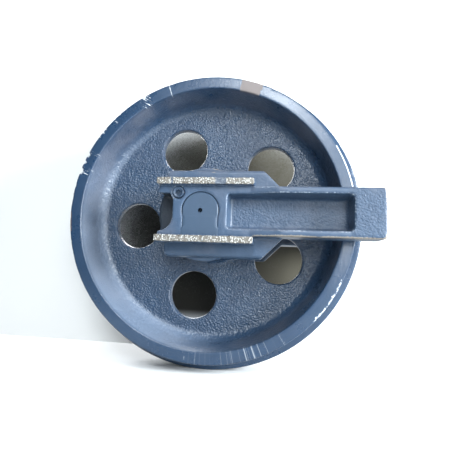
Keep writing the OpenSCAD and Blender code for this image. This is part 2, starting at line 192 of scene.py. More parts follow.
print("mask helpers ready")

# %% [markdown]
# A material reads where a point lies on the piece and which way the surface looks there. Both are taken in
# the piece's own directions, so the paint turns with the wheel. The distance from the shaft tells the zones
# of round pieces apart.

# %% Helpers for materials
def new_material(name):
    material = bpy.data.materials.new(name)
    material.use_nodes = True
    tree = material.node_tree
    return material, tree.nodes["Principled BSDF"], tree.nodes.new("ShaderNodeTexCoord").outputs["Object"]


def upward_share(place):
    """1 on a surface that looks straight up, 0 on an upright one and -1 on an underside."""
    return split(tree_of(place).nodes.new("ShaderNodeTexCoord").outputs["Normal"])["Z"]


def off_axis(axes):
    """The place pressed flat onto the wheel's middle plane, and its distance from the shaft's axis."""
    flat_place = join(X=axes["X"], Z=axes["Z"])
    return flat_place, vector_maths("LENGTH", flat_place)


def mesh_number(place, name):
    return add_node(tree_of(place), "Attribute", {}, attribute_name=name).outputs["Fac"]


def add_bump(shader, height, distance, strength=1.0):
    values = {"Height": height, "Strength": strength, "Distance": distance}
    connect(shader.inputs["Normal"], add_node(tree_of(height), "Bump", values).outputs["Normal"])


print("material helpers ready")

# %% [markdown]
# Sand casting leaves a skin like coarse leather: rounded lumps a few millimetres wide, pressed by grains of
# sand. One noise looks like smoke, and one cell pattern looks like scales, so the group adds the two. It
# puts out a height, which a Bump node then turns into light and shade.

# %% Cast skin group
cast_skin, given, result = new_group(
    "cast skin", {"Vector": "Vector", "Scale": "Float"}, {"Height": "Float"})
lumps = add_node(cast_skin, "TexVoronoi", {"Vector": given["Vector"], "Scale": given["Scale"]},
                 feature="SMOOTH_F1")
lumps.inputs["Smoothness"].default_value = 0.7
sand = cloud(given["Vector"], product(given["Scale"], 1.4), 2.0)
swell = cloud(given["Vector"], product(given["Scale"], 0.25), 2.0)
lump_height = product(lumps.outputs["Distance"], -0.6)
skin_height = maths("ADD", lump_height, product(sand, 0.9))
connect(result["Height"], times_plus(swell, 0.8, skin_height))
print("group:", cast_skin.name)

# %% [markdown]
# One coat of paint is never one colour. It is thin on high spots, thick in hollows and a little chalky
# where the weather got at it. The paint group mixes two colours by a broad cloud and a fine one, and also
# puts out the cloud itself, so that the gloss changes in the same places as the colour.

# %% Paint coat group
paint_coat, given, result = new_group(
    "paint coat", {"Vector": "Vector", "Thin": "Color", "Thick": "Color"},
    {"Color": "Color", "Chalk": "Float"})
broad = cloud(given["Vector"], 9.0, 4.0)
fine = cloud(given["Vector"], 70.0, 3.0)
blotches = fade(times_plus(fine, 0.35, broad), 0.45, 0.95)
connect(result["Color"], mix_colours(blotches, given["Thin"], given["Thick"]))
connect(result["Chalk"], blotches)
print("group:", paint_coat.name)

# %% [markdown]
# Paint comes off sharp edges first. The castings carry a number on their vertices, called edge, that is 1
# on a sharp outer corner and -1 in a sharp inner one. The wear group takes that number, breaks it up with
# noise so that the bare line is ragged, and leaves some stretches covered, as real wear does.

# %% Worn edge group
worn_edge, given, result = new_group(
    "worn edge", {"Vector": "Vector", "Edge": "Float", "Amount": "Float"}, {"Bare": "Float"})
ragged = cloud(given["Vector"], 260.0, 4.0, 0.65)
stretches = cloud(given["Vector"], 22.0, 2.0)
broken = times_plus(stretches, 0.9, ragged)
reach = maths("ADD", product(given["Edge"], 1.1), broken)
left_over = maths("SUBTRACT", 2.6, given["Amount"])
worn_off = maths("SUBTRACT", reach, left_over)
connect(result["Bare"], fade(worn_off, 0.0, 0.25))
print("group:", worn_edge.name)

# %% [markdown]
# Yard dust settles in patches, thickest where a surface looks up and in corners that no rain reaches. The
# dust group reads the surface's own direction and a patchy cloud, and puts out a mask. Each material then
# decides how pale its dust is.

# %% Settled dust group
settled_dust, given, result = new_group(
    "settled dust", {"Vector": "Vector", "Amount": "Float"}, {"Dust": "Float"})
patches = cloud(given["Vector"], 16.0, 6.0, 0.6)
lying = times_plus(upward_share(given["Vector"]), 0.25, patches)
dust_mask = product(fade(lying, 0.42, 0.85), given["Amount"])
connect(result["Dust"], dust_mask)
print("group:", settled_dust.name)

# %% [markdown]
# The wheel's flat ring has knocks at certain places round it: a scrape, a bare patch, a fan of scratches.
# The mark group is a soft window round the wheel. It takes an angle above the arm and a half width, both in
# degrees, and puts out a mask that noise has frayed. The same window then limits each kind of damage.

# %% Ring mark group
ring_mark, given, result = new_group(
    "ring mark", {"Vector": "Vector", "Angle": "Float", "Half": "Float", "Fray": "Float"}, {"Mask": "Float"})
across = split(given["Vector"])
angle = maths("RADIANS", given["Angle"])
cosine = maths("COSINE", angle)
sine = maths("SINE", angle)
along = maths("ADD", product(across["X"], cosine), product(across["Z"], sine))
aside = maths("SUBTRACT", product(across["Z"], cosine), product(across["X"], sine))
turned_by = maths("DEGREES", maths("ARCTAN2", aside, along))
inside = maths("SUBTRACT", given["Half"], maths("ABSOLUTE", turned_by))
frayed = maths("SUBTRACT", cloud(given["Vector"], 240.0, 4.0), 0.5)
margin = times_plus(frayed, given["Fray"], inside)
connect(result["Mask"], fade(margin, 0.0, 0.3))


def ring_window(place, angle, half, fray):
    return use_group(ring_mark, Vector=place, Angle=angle, Half=half, Fray=fray)["Mask"]


print("group:", ring_mark.name)

# %% [markdown]
# All painted pieces share one slate blue. The wheel's paint has zones, told apart by the distance from the
# shaft: a smooth ring, a dusty drafted wall, the fillet at its foot, and a web with the full cast skin. The
# zones could be several materials, but one material with masks has no seams between them.

# %% Zones of the wheel's paint
wheel_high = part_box("idler_wheel")[1]
rim_face = wheel_high.y
flange_radius = wheel_high.z
flange_height = 18 * mm
tread_radius = flange_radius - flange_height
lip_radius = flange_radius - 40 * mm
wheel_paint, shader, place = new_material("wheel paint")
axes = split(place)
flat_place, radius = off_axis(axes)
round_place = vector_maths("NORMALIZE", flat_place)
on_ring = fade(radius, lip_radius - 2 * mm, lip_radius + 1 * mm)
off_ring = maths("SUBTRACT", 1.0, on_ring)
on_wall = product(fade(radius, lip_radius - 15 * mm, lip_radius - 7 * mm), off_ring)
on_fillet = product(fade(radius, lip_radius - 30 * mm, lip_radius - 20 * mm), off_ring)
front_ring = product(on_ring, fade(axes["Y"], -40 * mm, -60 * mm))
print("wheel radii:", [round(item / mm) for item in (flange_radius, tread_radius, lip_radius)], "mm")

# %% [markdown]
# The ring was painted with a roller, which left streaks round it. Dust lies thin on the web and thick on
# the wall. On the wheel's left the wall and its fillet are painted a paler blue wherever they look up:
# painted light, for the light that falls on them there. The streaks could be drawn one by one, but noise
# that is stretched round the wheel gives them all.

# %% Coat, dust and painted light of the wheel
wheel_thin = (0.022, 0.050, 0.098, 1)
wheel_thick = (0.013, 0.034, 0.073, 1)
roller_streak = (0.013, 0.040, 0.090, 1)
web_dust = (0.17, 0.22, 0.30, 1)
pale_dust = (0.26, 0.25, 0.27, 1)
painted_light_blue = (0.28, 0.34, 0.44, 1)
roller_axes = split(vector_maths("MULTIPLY", round_place, (7, 7, 7)))
roller_across = product(radius, 420.0)
roller_vector = join(X=roller_axes["X"], Y=roller_across, Z=roller_axes["Z"])
roller = cloud(roller_vector, 1.0, 3.0)
coat = use_group(paint_coat, Vector=place, Thin=wheel_thin, Thick=wheel_thick)
streaks = product(fade(roller, 0.35, 0.75), on_ring)
streaked = mix_colours(streaks, coat["Color"], roller_streak)
dust = use_group(settled_dust, Vector=place, Amount=0.07)["Dust"]
hazy = mix_colours(dust, streaked, web_dust)
wall_cloud = fade(cloud(place, 11.0, 5.0), 0.3, 0.75)
wall_dust = product(on_wall, wall_cloud, 0.32)
dusty = mix_colours(wall_dust, hazy, pale_dust)
all_dust = largest(dust, wall_dust)
# Painted light: on the wheel's left the wall and fillet turn paler blue where they look up, for the light
# falling on them.
painted_light_zone = product(fade(radius, lip_radius - 27 * mm, lip_radius - 16 * mm), off_ring)
painted_light_side = fade(axes["X"], 60 * mm, -110 * mm)
looks_up = fade(upward_share(place), -0.75, 0.2)
painted_light = product(painted_light_zone, painted_light_side, looks_up, 0.46)
painted_lit = mix_colours(painted_light, dusty, painted_light_blue)
print("dust and chalk on:", wheel_paint.name)

# %% [markdown]
# Chips follow the sharp edges and the dents, which carry a number of their own. One patch at the top of the
# ring was rubbed down to the tan primer, and a spot of rust sits at the rim's left.

# %% Chips, bare patch and rust of the wheel
bright_scrape_and_highlight = (0.74, 0.78, 0.82, 1)
tan_primer = (0.20, 0.165, 0.150, 1)
rust_brown = (0.16, 0.10, 0.07, 1)
chipped = use_group(worn_edge, Vector=place, Edge=mesh_number(place, "edge"), Amount=0.30)["Bare"]
crumbled = times_plus(cloud(place, 300.0, 3.0), 0.6, mesh_number(place, "knock"))
broken_out = fade(crumbled, 0.70, 0.85)
bare = product(largest(chipped, broken_out), 0.8)
worn = mix_colours(bare, painted_lit, bright_scrape_and_highlight)
patch = product(front_ring, ring_window(place, 73.0, 4.6, 1.6))
patched = mix_colours(product(patch, 0.85), worn, tan_primer)
outer_edge = fade(radius, tread_radius - 4 * mm, tread_radius - 2 * mm)
rust_spot = product(front_ring, outer_edge, ring_window(place, 184.0, 4.0, 3.0))
spotted = mix_colours(product(rust_spot, 0.8), patched, rust_brown)
print("chips on:", wheel_paint.name)

# %% [markdown]
# The bright scrapes are cuts through the paint. Short strokes lie at a slant in a few windows, a long
# scratch crosses the ring, a fan of fine lines spreads at the bottom, and flakes are gone from the lower
# right edge. A bright line along the tread's edge at the upper right is a painted highlight.

# %% Scrapes and a painted highlight on the wheel's ring
slanted = stretched(place, Rotation=(0, math.radians(-28), 0))
strokes = fade(cloud(stretched(slanted, Scale=(70, 70, 620)), 1.0, 2.0), 0.56, 0.66)
scrape_places = {120.5: 2.6, 161.5: 1.6, 153.0: 0.9, 136.0: 0.5}
windows = [ring_window(place, middle, half, 0.8) for middle, half in scrape_places.items()]
slant_strokes = product(largest(*windows), strokes)
ragged_radius = times_plus(cloud(place, 130.0, 4.0), 9 * mm, radius)
rubbed_edge = fade(ragged_radius, tread_radius + 1 * mm, tread_radius + 2.5 * mm)
flakes = fade(cloud(place, 150.0, 4.0, 0.7), 0.43, 0.56)
flaked = product(rubbed_edge, ring_window(place, -34.0, 9.5, 5.0), flakes, 0.8)
# Painted highlight: a bright line just inside the tread's edge at the upper right, where light glints on the
# rounded corner.
inside_edge = maths("SUBTRACT", tread_radius, radius)
edge_band = band(inside_edge, 1.0 * mm, 1.6 * mm, 2.8 * mm, 3.4 * mm)
painted_edge_highlight = product(ring_window(place, 21.0, 9.0, 3.0), edge_band)
fan_vector = vector_maths("MULTIPLY", round_place, (95, 95, 95))
fan_lines = fade(cloud(fan_vector, 1.0, 2.0), 0.57, 0.66)
fan = product(fan_lines, ring_window(place, -76.0, 20.0, 8.0), 0.32)
long_scratch = product(ring_window(place, 108.6, 0.28, 0.5), 0.7)
scrapes_and_highlight = largest(slant_strokes, fan, long_scratch, flaked, painted_edge_highlight)
scraped_and_highlit = mix_colours(product(front_ring, scrapes_and_highlight), spotted, bright_scrape_and_highlight)
connect(shader.inputs["Base Color"], scraped_and_highlit)
print("scrapes on:", wheel_paint.name)

# %% [markdown]
# The web keeps its whole sand skin, the fillet was dressed smoother, and the ring was turned and has only
# the roller's faint ridges. The coat is glossy, and it is dull where it is dusty or bare.

# %% Surface of the wheel's paint
skin = use_group(cast_skin, Vector=place, Scale=250.0)["Height"]
smoothed = times_plus(on_fillet, 0.4, product(on_ring, 0.92))
skin_share = maths("SUBTRACT", 1.0, smoothed)
height = times_plus(roller, 0.04, product(skin, skin_share))
add_bump(shader, height, 1.8 * mm)
dull = times_plus(coat["Chalk"], 0.08, 0.24)
rough_patch = times_plus(patch, 0.4, dull)
connect(shader.inputs["Roughness"], times_plus(all_dust, 0.5, rough_patch))
shader.inputs["Specular IOR Level"].default_value = 0.75
print("material:", wheel_paint.name)

# %% [markdown]
# The brackets have two finishes: the boss and the plate were ground smooth before they were painted, and
# the end block and the floor of the pocket still have the sand skin. The rear bracket is the front one
# turned half round its arm, so a height that turns with it lets one material serve both.

# %% Zones of the brackets' paint
bracket_low, bracket_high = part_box("front_bracket")
arm_end = bracket_high.x
bracket_paint, shader, place = new_material("bracket paint")
axes = split(place)
from_shaft = off_axis(axes)[1]
depth = maths("ABSOLUTE", axes["Y"])
height_off = maths("ABSOLUTE", axes["Z"])
turned_height = product(axes["Z"], maths("SIGN", axes["Y"]), -1.0)
end_block = fade(axes["X"], arm_end - 55 * mm, arm_end - 47 * mm)
pocket_floor = band(depth, 90 * mm, 96 * mm, 103 * mm, 108 * mm)
pocket_plan = product(fade(axes["X"], 46 * mm, 56 * mm), fade(height_off, 31 * mm, 28 * mm))
sandy = largest(end_block, product(pocket_floor, pocket_plan))
print("arm end:", round(arm_end / mm), "mm")

# %% [markdown]
# The seams round the plug, the shaft and the lock bar are painted dark, as the shade that falls into the
# gaps between the pieces, and the hollow in the nose is painted dark as the shade inside it. The seams
# could be left to the shadows, but they are too fine for that.

# %% Painted shade in the seams and the nose of the brackets
plug_low, plug_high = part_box("front_oil_plug")
plug_middle = (plug_low + plug_high) / 2
plug_radius = (plug_high.x - plug_low.x) / 2
turned_place = join(X=axes["X"], Y=turned_height)
from_plug = vector_maths("DISTANCE", turned_place, (plug_middle.x, plug_middle.z, 0))
plug_gap = fade(from_plug, plug_radius + 1.6 * mm, plug_radius + 0.6 * mm)
bar_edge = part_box("front_lock_bar")[1].x
beside_bar = maths("SUBTRACT", maths("ABSOLUTE", axes["X"]), bar_edge)
bar_side = band(beside_bar, -1.5 * mm, -0.8 * mm, 0.5 * mm, 1.2 * mm)
bar_length = band(turned_height, -46 * mm, -44 * mm, -16 * mm, -14 * mm)
shaft_gap = fade(from_shaft, 32.4 * mm, 31.7 * mm)
gaps = largest(plug_gap, product(bar_side, bar_length), shaft_gap)
in_nose = product(fade(axes["X"], -46 * mm, -52 * mm), fade(depth, 127 * mm, 122 * mm),
                  fade(height_off, 40 * mm, 36 * mm))
# Painted shade: the seams and the hollow in the nose are darkened where shade falls.
shade = largest(gaps, in_nose)
print("seams on:", bracket_paint.name)

# %% [markdown]
# Edges that hands and tools touch are worn pale, and the pale line on the outer edges is also a painted
# highlight, for the light that runs along them. The edges that slide past the track frame are worn to tan:
# the arm's lower front edge, the end of its block and a stretch of the plate's top. The arm's underside is
# brown.

# %% Wear, painted shade and painted highlights of the brackets
bracket_thin = (0.048, 0.084, 0.144, 1)
bracket_thick = (0.034, 0.062, 0.110, 1)
corner_and_shade_dark = (0.012, 0.016, 0.021, 1)
pale_wear_and_highlight_blue = (0.40, 0.46, 0.54, 1)
dirt_brown = (0.105, 0.092, 0.080, 1)
worn_tan = (0.34, 0.29, 0.23, 1)
coat = use_group(paint_coat, Vector=place, Thin=bracket_thin, Thick=bracket_thick)
dust = use_group(settled_dust, Vector=place, Amount=0.25)["Dust"]
dusty = mix_colours(dust, coat["Color"], pale_dust)
edge = mesh_number(place, "edge")
# Sharp inner corners are darkened, and the painted shade of the seams and the nose hollow is added to them.
in_corner = product(fade(edge, -0.15, -0.7), 0.15)
corner_and_painted_shade = largest(in_corner, product(shade, 0.8))
darkened_corners_and_shade = mix_colours(corner_and_painted_shade, dusty, corner_and_shade_dark)
# Pale edges: worn paint, and also a painted highlight along the outer edges.
rubbed = use_group(worn_edge, Vector=place, Edge=edge, Amount=0.60)["Bare"]
touched = product(fade(from_shaft, 33 * mm, 35 * mm), fade(depth, 92 * mm, 97 * mm))
pale_wear_and_highlight_share = product(rubbed, touched, maths("SUBTRACT", 0.7, gaps))
worn_and_highlit_edges = mix_colours(pale_wear_and_highlight_share, darkened_corners_and_shade, pale_wear_and_highlight_blue)
arm_front = product(fade(depth, 120 * mm, 128 * mm), fade(axes["X"], 84 * mm, 94 * mm))
low_side = product(arm_front, fade(axes["Z"], -30 * mm, -38 * mm))
block_end = product(arm_front, fade(axes["X"], arm_end - 6 * mm, arm_end - 3 * mm))
plate_top = product(fade(turned_height, 58 * mm, 63 * mm),
                    band(axes["X"], 10 * mm, 15 * mm, 33 * mm, 38 * mm))
underside = product(low_side, fade(upward_share(place), -0.6, -0.9), 0.75)
browned = mix_colours(underside, worn_and_highlit_edges, dirt_brown)
worn_line = use_group(worn_edge, Vector=place, Edge=edge, Amount=0.95)["Bare"]
slid_past = product(worn_line, largest(low_side, block_end, plate_top), 0.75)
connect(shader.inputs["Base Color"], mix_colours(slid_past, browned, worn_tan))
print("wear on:", bracket_paint.name)

# %% [markdown]
# The sand skin is strong on the rough zones and faint on the ground ones, and dust dulls the gloss.

# %% Surface of the brackets' paint
skin = use_group(cast_skin, Vector=place, Scale=260.0)["Height"]
skin_share = times_plus(sandy, 0.55, 0.16)
add_bump(shader, product(skin, skin_share), 1.5 * mm)
dull = times_plus(coat["Chalk"], 0.08, 0.33)
connect(shader.inputs["Roughness"], times_plus(dust, 0.5, dull))
print("material:", bracket_paint.name)

# %% [markdown]
# The guide strips rub on the frame all day, so their front faces are bare: cream grey steel, hammered into
# small bright beads, with brown specks of rust in the pits. The front upper strip has kept a patch of paint
# and has a gap near its end. Behind that face the strips are painted as the brackets are.

# %% Steel of the guides
pit_brown = (0.19, 0.175, 0.155, 1)
bead_cream = (0.56, 0.56, 0.53, 1)
speck_rust = (0.11, 0.085, 0.060, 1)
guide_front = -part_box("front_upper_guide")[0].y
guide_steel, shader, place = new_material("guide steel")
axes = split(place)
depth = maths("ABSOLUTE", axes["Y"])
coat = use_group(paint_coat, Vector=place, Thin=bracket_thin, Thick=bracket_thick)
ragged = cloud(place, 210.0, 4.0, 0.65)
front_depth = times_plus(ragged, 5.0 * mm, depth)
rubbed = fade(front_depth, guide_front + 0.2 * mm, guide_front + 1.4 * mm)
frayed = times_plus(maths("SUBTRACT", ragged, 0.5), 9 * mm, axes["X"])
upper_front = product(fade(axes["Y"], 0.0, -1 * mm), fade(axes["Z"], 0.0, 1 * mm))
patch = band(frayed, 24 * mm, 27 * mm, 42 * mm, 45 * mm)
gap = band(frayed, -49.5 * mm, -48.5 * mm, -46.5 * mm, -45.5 * mm)
kept_paint = product(largest(patch, gap), upper_front)
bare = product(rubbed, times_plus(kept_paint, -0.75, 1.0))
grit = {"Vector": place, "Scale": 360.0}
cells = add_node(tree_of(place), "TexVoronoi", grit, feature="F1").outputs["Distance"]
beads = fade(times_plus(ragged, 0.5, cells), 0.78, 0.46)
specks = fade(cloud(place, 150.0, 3.0, 0.65), 0.58, 0.66)
cream = mix_colours(beads, pit_brown, bead_cream)
rusty = mix_colours(product(specks, 0.7), cream, speck_rust)
connect(shader.inputs["Base Color"], mix_colours(bare, coat["Color"], rusty))
connect(shader.inputs["Metallic"], product(bare, 0.2))
connect(shader.inputs["Roughness"], times_plus(bare, 0.08, 0.36))
beaded = product(maths("SUBTRACT", beads, specks), bare)
skin = use_group(cast_skin, Vector=place, Scale=200.0)["Height"]
add_bump(shader, times_plus(skin, 0.15, product(beaded, 0.7)), 0.8 * mm)
print("material:", guide_steel.name)

# %% [markdown]
# The shaft was painted in place, so its ends are blue and smoother than the castings, and the length inside
# the hub is ground steel. One material holds both and changes over where the brackets begin.

# %% Finish of the shaft
shaft_thin = (0.040, 0.071, 0.119, 1)
shaft_thick = (0.033, 0.060, 0.102, 1)
shaft_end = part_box("shaft")[1].y
shaft_finish, shader, place = new_material("shaft finish")
depth = maths("ABSOLUTE", split(place)["Y"])
end_face = fade(depth, shaft_end - 20 * mm, shaft_end - 18 * mm)
coat = use_group(paint_coat, Vector=place, Thin=shaft_thin, Thick=shaft_thick)
grinding = cloud(stretched(place, Scale=(60, 900, 60)), 1.0, 2.0)
steel = mix_colours(grinding, (0.30, 0.30, 0.31, 1), (0.52, 0.52, 0.53, 1))
connect(shader.inputs["Base Color"], mix_colours(end_face, steel, coat["Color"]))
connect(shader.inputs["Metallic"], maths("SUBTRACT", 1.0, end_face))
connect(shader.inputs["Roughness"], times_plus(end_face, 0.14, 0.26))
add_bump(shader, cloud(place, 240.0, 3.0), 0.2 * mm, 0.5)
print("material:", shaft_finish.name)

# %% [markdown]
# The small inner pieces each have one plain metal or rubber. What sets them apart is how the light breaks
# on them: turned bronze has fine rings, hard seal iron is lapped almost to a mirror, copper is dull from
# heating, and rubber drinks the light. One function makes all of them from a few values.

# %% Plain metals and rubber
def plain_finish(name, dark, light, metallic, roughness, grain, grain_depth):
    material, shader, place = new_material(name)
    grains = cloud(place, grain, 4.0)
    cloudy = cloud(place, 24.0, 4.0)
    shares = times_plus(grains, 0.4, product(cloudy, 0.6))
    connect(shader.inputs["Base Color"], mix_colours(fade(shares, 0.35, 0.65), dark, light))
    shader.inputs["Metallic"].default_value = metallic
    connect(shader.inputs["Roughness"], times_plus(cloudy, 0.2, roughness))
    add_bump(shader, grains, grain_depth, 0.6)
    print("material:", name)
    return material


bush_bronze = plain_finish("bush bronze", (0.42, 0.25, 0.09, 1), (0.62, 0.41, 0.18, 1), metallic=1.0,
                           roughness=0.22, grain=300.0, grain_depth=0.1 * mm)
seal_iron = plain_finish("seal iron", (0.20, 0.20, 0.21, 1), (0.36, 0.36, 0.37, 1), metallic=1.0,
                         roughness=0.16, grain=420.0, grain_depth=0.05 * mm)
seal_rubber = plain_finish("seal rubber", (0.012, 0.012, 0.013, 1), (0.030, 0.030, 0.032, 1), metallic=0.0,
                           roughness=0.55, grain=500.0, grain_depth=0.1 * mm)
washer_copper = plain_finish("washer copper", (0.45, 0.17, 0.09, 1), (0.72, 0.33, 0.20, 1), metallic=1.0,
                             roughness=0.32, grain=350.0, grain_depth=0.1 * mm)
plug_paint = plain_finish("plug paint", (0.018, 0.034, 0.062, 1), (0.034, 0.062, 0.108, 1), metallic=0.0,
                          roughness=0.26, grain=260.0, grain_depth=0.25 * mm)
inner_finishes = {"bush": bush_bronze, "seal_ring": seal_iron, "toric_ring": seal_rubber,
                  "oring": seal_rubber, "washer": washer_copper, "shaft": shaft_finish}
for ending, finish in inner_finishes.items():
    for name, node in cad_nodes.items():
        if name.endswith(ending):
            node.data.materials.clear()
            node.data.materials.append(finish)

# %% [markdown]
# New pieces start from a chain of points or from a plain block. A chain is rounded at its corners and spun
# round the shaft's direction, as a lathe turns a section. These helpers hold the few mesh operations that
# come back again and again, each with its settings in one place.

# %% Helpers for shapes
sides = {"front": -1, "rear": 1}
merge_reach = 0.01 * mm


def outer_face(node_name, outward):
    low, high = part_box(node_name)
    return low.y if outward < 0 else high.y


def verts_of(items):
    return [item for item in items if isinstance(item, bmesh.types.BMVert)]


def add_chain(bm, points):
    corners = [bm.verts.new((across, along, 0)) for across, along in points]
    for first, second in zip(corners, corners[1:]):
        bm.edges.new((first, second))
    return corners


def add_block(low, high):
    block = bmesh.new()
    stretch = Matrix.Translation((low + high) / 2) @ Matrix.Diagonal((*(high - low), 1))
    bmesh.ops.create_cube(block, size=1.0, matrix=stretch)
    return block


def round_off(bm, geom, offset, segments, affect):
    bmesh.ops.bevel(bm, geom=geom, offset=offset, offset_type="OFFSET", affect=affect, segments=segments,
                    profile=0.5, material=-1)


def turn_outwards(bm):
    bmesh.ops.recalc_face_normals(bm, faces=bm.faces)


def mirror_along(bm):
    bmesh.ops.mirror(bm, geom=bm.verts[:] + bm.edges[:], axis="Y", merge_dist=merge_reach)


def spin_round(bm, steps):
    bmesh.ops.spin(bm, geom=bm.verts[:] + bm.edges[:], cent=(0, 0, 0), axis=(0, 1, 0),
                   angle=2 * math.pi, steps=steps, use_merge=True)
    bmesh.ops.remove_doubles(bm, verts=bm.verts, dist=merge_reach)
    turn_outwards(bm)


def slice_up(bm, start, direction, length, count):
    for number in range(1, count):
        point = start + direction * length * number / count
        bmesh.ops.bisect_plane(bm, geom=bm.verts[:] + bm.edges[:] + bm.faces[:], dist=merge_reach,
                               plane_co=point, plane_no=direction)


print("shape helpers ready")

# %% [markdown]
# Every modelled piece goes through the same last steps. Its mesh gets smooth shading that breaks at true
# corners, and it is tied to the body that it moves with. Castings also get the edge number that the wear
# follows. It is the sum of the bends at a vertex: a bend outwards counts up, and one inwards down.

# %% Helpers for pieces
sharp_corner = math.radians(40)


def make_object(name, bm):
    mesh = bpy.data.meshes.new(name)
    bm.to_mesh(mesh)
    bm.free()
    piece = bpy.data.objects.new(name, mesh)
    bpy.context.scene.collection.objects.link(piece)
    return piece


def cut_away(piece, cutter):
    cut = piece.modifiers.new(cutter.name, "BOOLEAN")
    cut.object = cutter
    cut.operation = "DIFFERENCE"
    cut.solver = "EXACT"


def apply_modifiers(piece, *cutters):
    graph = bpy.context.evaluated_depsgraph_get()
    finished = bpy.data.meshes.new_from_object(piece.evaluated_get(graph))
    piece.modifiers.clear()
    piece.data = finished
    for cutter in cutters:
        bpy.data.objects.remove(cutter)


def mark_edges(piece, full_bend):
    bm = bmesh.new()
    bm.from_mesh(piece.data)
    bends = []
    for vert in bm.verts:
        bend = sum(edge.calc_face_angle_signed(0.0) for edge in vert.link_edges)
        bends.append(max(-1.0, min(1.0, bend / full_bend)))
    bm.free()
    piece.data.attributes.new("edge", "FLOAT", "POINT").data.foreach_set("value", bends)


def hand_over(piece, body, slot_name, finish, *stands_for):
    piece.data.materials.clear()
    piece.data.materials.append(finish)
    piece.data.shade_smooth()
    piece.data.set_sharp_from_angle(angle=sharp_corner)
    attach(piece, body)
    if stands_for:
        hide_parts(*stands_for)
    triangles = sum(len(face.vertices) - 2 for face in piece.data.polygons)
    print("piece:", piece.name, "triangles:", triangles)


print("piece helpers ready")

# %% [markdown]
# The wheel is one casting, turned on a lathe afterwards. Its section is a chain of a dozen corners, and
# each corner is rounded by a bevel of its one vertex, which is how a lathe tool or a mould leaves it. The
# chain is mirrored, cut into short steps and spun round the shaft. A ready made cylinder could be cut into
# shape too, but a section is what a drawing of a wheel shows, and one change to it moves the whole rim.

# %% Section of the wheel
web_face = 9 * mm
flange_half = 27 * mm
wall_draft = math.radians(11)
flange_draft = math.radians(12)
hub_end = rim_face - 8 * mm
hub_radius = 80 * mm
hub_foot = 82 * mm
seal_bore = 54 * mm
seal_floor = 49 * mm
bush_bore = 37.05 * mm
oil_room = 42 * mm
oil_half = 12 * mm
wall_foot = lip_radius - (rim_face - web_face) * math.tan(wall_draft)
flange_foot = flange_half + flange_height * math.tan(flange_draft)
half_section = [
    (flange_radius, 0, 0), (flange_radius, flange_half, 3.0 * mm), (tread_radius, flange_foot, 3.5 * mm),
    (tread_radius, rim_face, 2.6 * mm), (lip_radius, rim_face, 1.8 * mm), (wall_foot, web_face, 18.0 * mm),
    (hub_foot, web_face, 11.6 * mm), (hub_radius, hub_end, 2.0 * mm), (seal_bore, hub_end, 0.8 * mm),
    (seal_bore, seal_floor, 0), (bush_bore, seal_floor, 0), (bush_bore, oil_half, 0),
    (oil_room, oil_half, 0), (oil_room, 0, 0),
]
section = bmesh.new()
corners = add_chain(section, [(across, along) for across, along, rounding in half_section])
for corner, (across, along, rounding) in zip(corners, half_section):
    if rounding:
        steps = 10 if rounding > 5 * mm else 4
        round_off(section, [corner], rounding, steps, "VERTICES")
mirror_along(section)
print("section points:", len(section.verts))

# %% [markdown]
# Dents need points to push, so the section is cut into short steps before it is spun. Inside the hub
# nothing shows, and its long faces stay whole to keep the mesh light.

# %% Spin the section
longest_step = 5 * mm
hidden_radius = 56 * mm
turn_steps = 420
for edge in section.edges[:]:
    cuts = int(edge.calc_length() / longest_step)
    in_bore = max(vert.co.x for vert in edge.verts) < hidden_radius
    if cuts and not in_bore:
        bmesh.ops.subdivide_edges(section, edges=[edge], cuts=cuts)
spin_round(section, turn_steps)
wheel = make_object("idler_wheel_casting", section)
print("wheel faces:", len(wheel.data.polygons))

# %% [markdown]
# Five round holes lighten the web. Their edges are rounded in the mould, so the cutter is not a plain
# cylinder: its section flares at both mouths, and the flare is the same vertex bevel as before. The flare
# ends a little above the web, because two surfaces that only just touch give the boolean nothing to cut.

# %% Holes in the web
hole_count = 5
hole_radius = 45.5 * mm
hole_circle = 152 * mm
first_hole = math.radians(-30)
mouth_rounding = 4 * mm
flare_top = web_face + 0.15 * mm
flare_radius = 55 * mm
cutter_top = 40 * mm
cutter = bmesh.new()
corners = add_chain(cutter, [(0, cutter_top), (flare_radius, cutter_top), (flare_radius, flare_top),
                             (hole_radius, flare_top), (hole_radius, 0)])
round_off(cutter, [corners[3]], mouth_rounding, 6, "VERTICES")
mirror_along(cutter)
spin_round(cutter, 72)
one_cutter = cutter.verts[:] + cutter.edges[:] + cutter.faces[:]
for number in range(hole_count):
    angle = first_hole + number * 2 * math.pi / hole_count
    centre = Vector((hole_circle * math.cos(angle), 0, hole_circle * math.sin(angle)))
    copied = bmesh.ops.duplicate(cutter, geom=one_cutter)["geom"]
    bmesh.ops.translate(cutter, verts=verts_of(copied), vec=centre)
bmesh.ops.delete(cutter, geom=verts_of(one_cutter), context="VERTS")
turn_outwards(cutter)
hole_cutters = make_object("hole_cutters", cutter)
cut_away(wheel, hole_cutters)
apply_modifiers(wheel, hole_cutters)
print("wheel faces after drilling:", len(wheel.data.polygons))

# %% [markdown]
# The outer corners of the rim have dents from handling. Small ones come from noise and lie everywhere, and
# they are deeper where the front of the rim was dragged on stone. A few notches have a place and a depth of
# their own, the largest of them at the left.

# %% Dents of the rim
notches = {120.0: 1.4, 133.0: 0.9, 143.0: 1.2, 154.5: 2.6, 158.0: 2.0, 162.0: 4.6, 168.5: 1.2, 176.0: 0.8}


